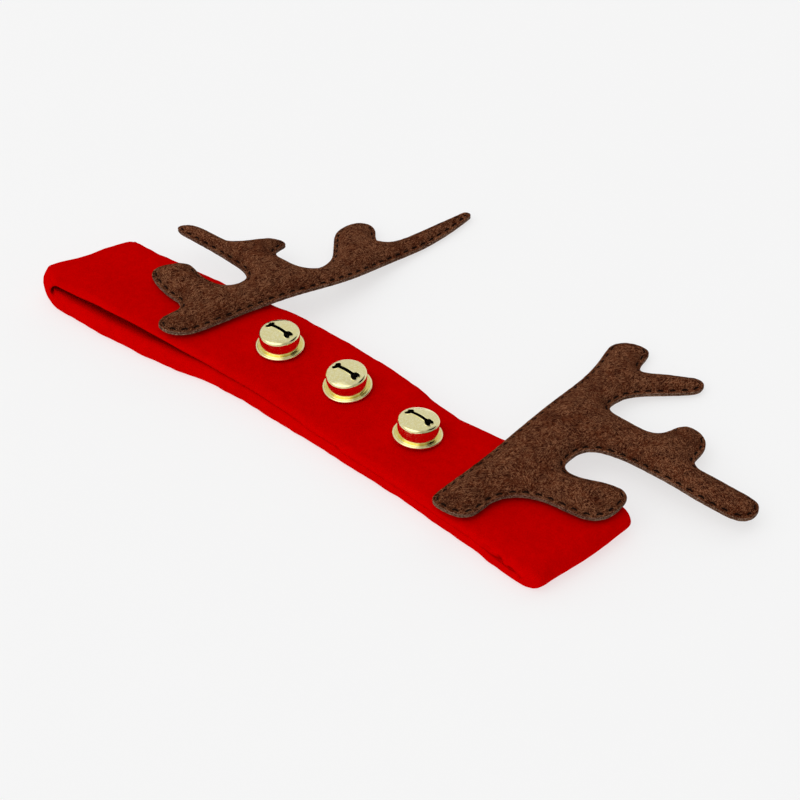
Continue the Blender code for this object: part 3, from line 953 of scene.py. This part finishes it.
def close_half(sheet, side, edge, stitches):
    """Presses in the stitches, roughens the felt and closes the half with its cut edge and inner face.

    Then it lays the half on its seam."""
    mesh = sheet.data
    name = sheet.name
    looks = list(mesh.materials)
    points = points_of(mesh)
    faces = [tuple(face.vertices) for face in mesh.polygons]
    distance = edge_distance(points[:, :2], edge)
    press_stitches(points, distance, stitches)
    inner = smoothstep(0.0, 0.0012, distance)
    rough = 0.00007 * noise_at(points, 0.0014, 6.0 + side)
    rough = rough + 0.00010 * noise_at(points, 0.0045, 7.0 + side)
    points[:, 2] += rough * (0.4 + 0.6 * inner)
    sway = (1 - inner) * 0.00010 * noise_at(points, 0.0018, 8.0 + side)
    points[:, :2] += np.column_stack([sway, -sway])

    ring = rim_loop(mesh)
    count = len(ring)
    rim = points[ring]
    along = np.roll(rim[:, :2], -1, axis=0) - np.roll(rim[:, :2], 1, axis=0)
    along /= np.linalg.norm(along, axis=1)[:, None]
    outward = np.column_stack([along[:, 1], -along[:, 0]])
    turns = 0.5 * np.sum(rim[:, 0] * np.roll(rim[:, 1], -1) - np.roll(rim[:, 0], -1) * rim[:, 1])
    outward *= 1 if turns > 0 else -1
    last = ring
    all_points = [points]
    total = len(points)
    looks_of = [0] * len(faces)
    for share, out in CUT_EDGE_ROWS:
        fluff = 0.00006 * noise_at(rim * (1, 1, 1 + share), 0.0011, share)
        wall = np.column_stack([rim[:, :2] + outward * (out + fluff)[:, None], rim[:, 2] * share])
        here = list(range(total, total + count))
        for i in range(count):
            k = (i + 1) % count
            faces.append((last[k], last[i], here[i], here[k]))
            looks_of.append(1)
        all_points.append(wall)
        total += count
        last = here
    bottom = all_points[-1][:, :2]
    ordered = bottom if turns > 0 else bottom[::-1]
    order = last if turns > 0 else last[::-1]
    grid = hex_grid(bottom.min(axis=0), bottom.max(axis=0), 0.004)
    grid = grid[edge_distance(grid, ordered) > 0.0012]
    plan, triangles = triangulated(ordered, grid)
    extra = plan[count:]
    index = list(order) + list(range(total, total + len(extra)))
    all_points.append(np.column_stack([extra, np.zeros(len(extra))]))
    for face in triangles:
        faces.append(tuple(index[i] for i in reversed(face)))
        looks_of.append(1)
    points = np.concatenate(all_points)
    seam = np.array([antler_height(x, y) for x, y, _ in points])
    inside = np.concatenate([distance, np.zeros(total - len(distance)), edge_distance(extra, edge)])
    seam -= EDGE_CURL * (1 - smoothstep(0, EDGE_CURL_REACH, inside))
    points[:, 2] = seam + side * (SEAM_GAP / 2 + points[:, 2])
    bpy.data.objects.remove(sheet, do_unlink=True)
    made = mesh_object(name, points, faces, looks)
    made.data.polygons.foreach_set("material_index", looks_of)
    shaped = bmesh.new()
    shaped.from_mesh(made.data)
    bmesh.ops.recalc_face_normals(shaped, faces=shaped.faces)
    shaped.to_mesh(made.data)
    shaped.free()
    return made


def stitch_places(edge, start):
    """Where each stitch goes down and comes up, in plan, all the way round."""
    ring = inset_ring(edge, STITCH_INSET, 0.0004)
    ring = np.concatenate([ring, ring[:1]])
    run = np.concatenate([[0], np.cumsum(np.linalg.norm(np.diff(ring, axis=0), axis=1))])
    count = round(run[-1] / STITCH_PERIOD)
    period = run[-1] / count
    found = []
    for i in range(count):
        wander = 0.0003 * noise.noise(Vector((i * 0.7, start, 0)))
        low = (i * period + wander) % run[-1]
        high = low + STITCH_DASH * (1 + 0.15 * noise.noise(Vector((i * 1.3, start, 4))))
        ends = [np.array([np.interp(at % run[-1], run, ring[:, k]) for k in (0, 1)]) for at in (low, high)]
        found.append(tuple(ends))
    return found


def tube(path, radius, sides, closed=False):
    """Points and faces of a round tube along a path."""
    points = []
    faces = []
    count = len(path)
    for i, place in enumerate(path):
        after = path[(i + 1) % count] if closed or i + 1 < count else place
        before = path[i - 1] if closed or i > 0 else place
        along = (Vector(after) - Vector(before)).normalized()
        aside = along.cross(Vector((0, 0, 1)))
        aside = aside.normalized() if aside.length > 1e-6 else Vector((1, 0, 0))
        up = aside.cross(along)
        size = radius[i] if isinstance(radius, (list, tuple)) else radius
        for k in range(sides):
            angle = 2 * math.pi * k / sides
            points.append(Vector(place) + (aside * math.cos(angle) + up * math.sin(angle)) * size)
    for i in range(count if closed else count - 1):
        here = i * sides
        after = (i + 1) % count * sides
        for k in range(sides):
            j = (k + 1) % sides
            faces.append((here + k, here + j, after + j, after + k))
    if not closed:
        faces.append(tuple(reversed(range(sides))))
        faces.append(tuple(range((count - 1) * sides, count * sides)))
    return points, faces


def merged(name, shapes, looks):
    """One object from several (points, faces) shapes."""
    points = []
    faces = []
    for part_points, part_faces in shapes:
        first = len(points)
        points += list(part_points)
        faces += [tuple(first + i for i in face) for face in part_faces]
    return mesh_object(name, points, faces, looks)


def make_stitches(name, half, side, stitches, look):
    """Thread lying in its dents on the felt, a short tube for each stitch."""
    graph = bpy.context.evaluated_depsgraph_get()
    felt = BVHTree.FromObject(half, graph)
    shapes = []
    for start, end in stitches:
        heights = []
        for place in (start, end):
            hit = felt.ray_cast(Vector((*place, side * 0.1)), Vector((0, 0, -side)))[0]
            heights.append(hit.z if hit else antler_height(*place) + side * FELT)
        path = []
        for share, lift in STITCH_PROFILE:
            place = start + (end - start) * share
            height = heights[0] + (heights[1] - heights[0]) * share
            path.append((*place, height + side * (lift + 0.00018)))
        shapes.append(tube(path, THREAD / 2, 7))
    return merged(name, shapes, [look])


def make_antler(name, felt, painted_lit_cut_edge, thread, seed):
    edge = rounded_loop(cad_outline(name + "_front"), EDGE_STEP)
    stitches = stitch_places(edge, seed)
    for part, side, thicker, fine in HALVES:
        depth = PADDED_HALF + thicker
        half = make_half(f"{name}_{part}_felt", edge, side, depth, fine, [felt, painted_lit_cut_edge])
        half = close_half(half, side, edge, stitches)
        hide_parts(f"{name}_{part}")
        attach(half, "root")
        threads = make_stitches(f"{name}_{part}_stitches", half, side, stitches, thread)
        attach(threads, "root")


# Bells


def shell_outline(inset, flange):
    """Half the shell's outline from the top of the dome to the back, as (radius, height)."""
    radius = BELL_RADIUS - inset
    turn = BELL_SHOULDER - inset
    rise = BELL_HEIGHT - BELL_SIDE - inset
    arm = radius - turn
    dome = (arm**2 + rise**2 - turn**2) / (2 * (rise - turn))
    centre = BELL_SIDE + rise - dome
    lean = math.asin(arm / (dome - turn))
    points = []
    for i in range(24):
        angle = lean * i / 24
        points.append((dome * math.sin(angle), centre + dome * math.cos(angle)))
    for i in range(15):
        angle = lean + (math.pi / 2 - lean) * i / 14
        points.append((arm + turn * math.sin(angle), BELL_SIDE + turn * math.cos(angle)))
    if flange:
        half = FLANGE_THICK / 2
        for share in (0.75, 0.5, 0.3, 0.15):
            points.append((radius, BELL_SIDE * share))
        for out, height in FLANGE_GROOVE:
            points.append((radius + out, height))
        for i in range(17):
            angle = math.radians(170 - 20 * i)
            points.append((FLANGE_RADIUS - half + half * math.cos(angle), half * math.sin(angle)))
    curve = back_circle() - inset
    centre = back_circle() - BACK_DEPTH
    for i in range(13):
        across = radius * (1 - i / 12)
        points.append((across, centre - math.sqrt(curve**2 - across**2)))
    return points


def revolved(lines, steps):
    """Points, faces and line number of each face for lines turned round Z, each from axis to axis."""
    points = []
    faces = []
    line_of = []
    for number, line in enumerate(lines):
        first = len(points)
        points.append((0.0, 0.0, line[0][1]))
        for radius, height in line[1:-1]:
            for k in range(steps):
                angle = 2 * math.pi * k / steps
                points.append((radius * math.cos(angle), radius * math.sin(angle), height))
        points.append((0.0, 0.0, line[-1][1]))
        last = len(points) - 1
        rings = len(line) - 2
        for k in range(steps):
            j = (k + 1) % steps
            faces.append((first, first + 1 + k, first + 1 + j))
            for i in range(rings - 1):
                here = first + 1 + i * steps
                faces.append((here + k, here + steps + k, here + steps + j, here + j))
            here = first + 1 + (rings - 1) * steps
            faces.append((here + k, last, here + j))
        line_of += [number] * (len(faces) - len(line_of))
    return points, faces, line_of


def bone_outline():
    """The sound slot: a narrow slit with two lobes at each end."""
    half = SLOT_LENGTH / 2
    slit = SLIT_WIDTH / 2
    top = [(along * half, wide * slit) for along, wide in SLOT_QUARTER]
    right = [(x, -y) for x, y in top] + top[::-1]
    return np.array(right + [(-x, -y) for x, y in right])


def prism(outline, low, high):
    count = len(outline)
    points = [(*p, low) for p in outline] + [(*p, high) for p in outline]
    faces = [tuple(range(count, 2 * count)), tuple(reversed(range(count)))]
    faces += [(i, (i + 1) % count, (i + 1) % count + count, i + count) for i in range(count)]
    return points, faces


def dome_height(radius):
    """Height of the dome over a distance from its axis."""
    arm = BELL_RADIUS - BELL_SHOULDER
    rise = BELL_HEIGHT - BELL_SIDE
    dome = (arm**2 + rise**2 - BELL_SHOULDER**2) / (2 * (rise - BELL_SHOULDER))
    if radius < arm * dome / (dome - BELL_SHOULDER):
        return BELL_HEIGHT - dome + math.sqrt(dome**2 - radius**2)
    return BELL_SIDE + math.sqrt(max(BELL_SHOULDER**2 - (radius - arm) ** 2, 0))


def make_lug():
    """A bent loop of plate under the shell, for the sewing thread."""
    half = LUG_WIDTH / 2
    low = -BACK_DEPTH - LUG_DROP + half
    top = -BACK_DEPTH + BELL_WALL * 0.8
    outer = []
    inner = []
    for i in range(LUG_STEPS + 1):
        angle = math.radians(270 * i / LUG_STEPS - 225)
        outer.append((half * math.cos(angle), min(low + half * math.sin(angle), top)))
        inner.append((LUG_HOLE / 2 * math.cos(angle), low + LUG_HOLE / 2 * math.sin(angle)))
    count = len(outer)
    points = []
    for y in (-LUG_THICK / 2, LUG_THICK / 2):
        points += [(x, y, z) for x, z in outer]
        points += [(x, y, z) for x, z in inner]
    faces = []
    for i in range(count - 1):
        k = i + 1
        a, b = 0, count
        c, d = 2 * count, 3 * count
        faces += [(a + i, a + k, b + k, b + i), (c + k, c + i, d + i, d + k)]
        faces += [(a + k, a + i, c + i, c + k), (b + i, b + k, d + k, d + i)]
    faces += [(0, count, 3 * count, 2 * count), (count - 1, 3 * count - 1, 4 * count - 1, 2 * count - 1)]
    return points, faces


def make_bell(name, place, gold, tarnish, seed):
    """The sprung shell with its rolled flange, cut slot, burred edge and lug."""
    outer = shell_outline(0.0, True)
    inner = shell_outline(BELL_WALL, False)
    points, faces, line_of = revolved([outer, inner[::-1]], BELL_STEPS)
    shell = mesh_object(name + "_shell", points, faces, [gold, tarnish])
    mesh = shell.data
    mesh.polygons.foreach_set("material_index", line_of)
    base = points_of(mesh)
    out = base / np.maximum(np.linalg.norm(base, axis=1), 1e-9)[:, None]
    around = out * BELL_RADIUS
    wave = 0.00005 * noise_at(around, 0.0045, seed) + 0.00002 * noise_at(around, 0.0018, seed + 3)
    set_points(mesh, base + out * wave[:, None])

    bone = rounded_loop(bone_outline(), 0.00018)
    cutter_points, cutter_faces = prism(bone, BELL_SIDE - 0.001, BELL_HEIGHT + 0.002)
    cutter = mesh_object(name + "_cutter", cutter_points, cutter_faces, [gold])
    cut = shell.modifiers.new("slot", "BOOLEAN")
    cut.operation = "DIFFERENCE"
    cut.solver = "EXACT"
    cut.object = cutter
    evaluated_copy(shell)
    bpy.data.objects.remove(cutter, do_unlink=True)
    shell.data.set_sharp_from_angle(angle=math.radians(40))

    ridge = [(x, y, dome_height(math.hypot(x, y)) + 0.00002) for x, y in bone]
    burr = merged(name + "_burr", [tube(ridge, BURR, 8, closed=True), make_lug()], [gold])
    bpy.ops.object.select_all(action="DESELECT")
    for part in (shell, burr):
        part.select_set(True)
    bpy.context.view_layer.objects.active = shell
    bpy.ops.object.join()
    shell.data.transform(place)
    return shell


# Stage


def add_camera():
    azimuth = math.radians(CAMERA_AZIMUTH)
    elevation = math.radians(CAMERA_ELEVATION)
    flat = math.cos(elevation)
    back = Vector((math.sin(azimuth) * flat, -math.cos(azimuth) * flat, math.sin(elevation)))
    lens = bpy.data.cameras.new("camera")
    lens.lens = CAMERA_LENS
    lens.sensor_width = SENSOR
    lens.clip_start = 0.01
    lens.clip_end = 20
    camera = bpy.data.objects.new("camera", lens)
    camera.location = Vector(LOOK_AT) + back * CAMERA_DISTANCE
    camera.rotation_euler = back.to_track_quat("Z", "Y").to_euler()
    bpy.context.scene.collection.objects.link(camera)
    bpy.context.scene.camera = camera


def add_fill():
    """A broad soft lamp from the front left."""
    lamp = bpy.data.lights.new("fill", "AREA")
    lamp.shape = "DISK"
    lamp.size = FILL_SIZE
    lamp.energy = FILL_POWER
    made = bpy.data.objects.new("fill", lamp)
    made.location = FILL_PLACE
    made.rotation_euler = Vector(FILL_PLACE).to_track_quat("Z", "Y").to_euler()
    bpy.context.scene.collection.objects.link(made)


def add_stage():
    look, tree, shader, place = new_material("pale floor")
    grain = noise_of(tree, place, 0.02, 2.0)
    low, high = FLOOR_GREY - 0.004, FLOOR_GREY + 0.004
    colour = blend_colour(tree, grain, (low,) * 3, (high,) * 3)
    fill(tree, shader, {"Base Color": colour, "Roughness": 1.0, "Specular IOR Level": 0.0})
    fill(tree, shader, {"Emission Color": (1, 1, 1, 1), "Emission Strength": FLOOR_GLOW})
    floor = mesh_object("floor", [(-4, -4, 0), (4, -4, 0), (4, 4, 0), (-4, 4, 0)], [(0, 1, 2, 3)], [look])
    floor.location.z = -0.0001
    add_sky()
    add_fill()
    view = bpy.context.scene.view_settings
    view.view_transform = "Standard"
    view.look = "None"
    view.exposure = 0.0
    view.gamma = 1.0


def seen_direction(right, front, up):
    """A direction given as the camera sees it: to the right, towards the front and up."""
    azimuth = math.radians(CAMERA_AZIMUTH)
    x = right * math.cos(azimuth) + front * math.sin(azimuth)
    y = right * math.sin(azimuth) - front * math.cos(azimuth)
    return tuple(Vector((x, y, up)).normalized())


def add_sky():
    """A soft room of light: brighter behind, with one soft bright patch and one dark one."""
    world = bpy.data.worlds.new("studio")
    world.use_nodes = True
    bpy.context.scene.world = world
    tree = world.node_tree
    way = node(tree, "TexCoord").outputs["Generated"]

    def facing(*direction):
        aim = seen_direction(*direction)
        return node(tree, "VectorMath", {0: way, 1: aim}, operation="DOT_PRODUCT").outputs["Value"]

    strength = rescale(tree, facing(0, -1, 0.2), -0.5, 0.6, SKY_FRONT, SKY_BACK)
    for right, front, up, edge, full, add in SKY_PATCHES:
        patch = rescale(tree, facing(right, front, up), edge, full, 0.0, add)
        strength = sum_of(tree, (strength, 1.0), (patch, 1.0))
    fill(tree, tree.nodes["Background"], {"Color": (1, 1, 1, 1), "Strength": strength})


def main():
    add_camera()
    add_stage()
    fleece = fleece_material()
    felt = felt_material("brown felt", FELT_LIGHT, FELT_DARK, FELT_FLECK, FELT_SHADOW)
    # The cut edge is the felt in lighter colours: painted highlight along the cut edge
    painted_lit_cut_edge = felt_material("felt cut edge with painted highlight", PAINTED_LIT_EDGE_LIGHT, PAINTED_LIT_EDGE_DARK, PAINTED_LIT_EDGE_FLECK, FELT_SHADOW)
    thread = thread_material()
    gold = gold_material()
    tarnish = tarnish_material()
    steel = steel_material()

    band = make_band(fleece)
    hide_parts("band")
    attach(band, "root")

    make_antler("antler_left", felt, painted_lit_cut_edge, thread, 1.0)
    make_antler("antler_right", felt, painted_lit_cut_edge, thread, 2.0)

    for number, (name, along, across, lean) in enumerate(BELLS):
        bell = make_bell(name, bell_place(along, across, lean), gold, tarnish, number * 7.0)
        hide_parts(name)
        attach(bell, "root")
        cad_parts[name + "_ball"].material_slots[0].material = steel


main()
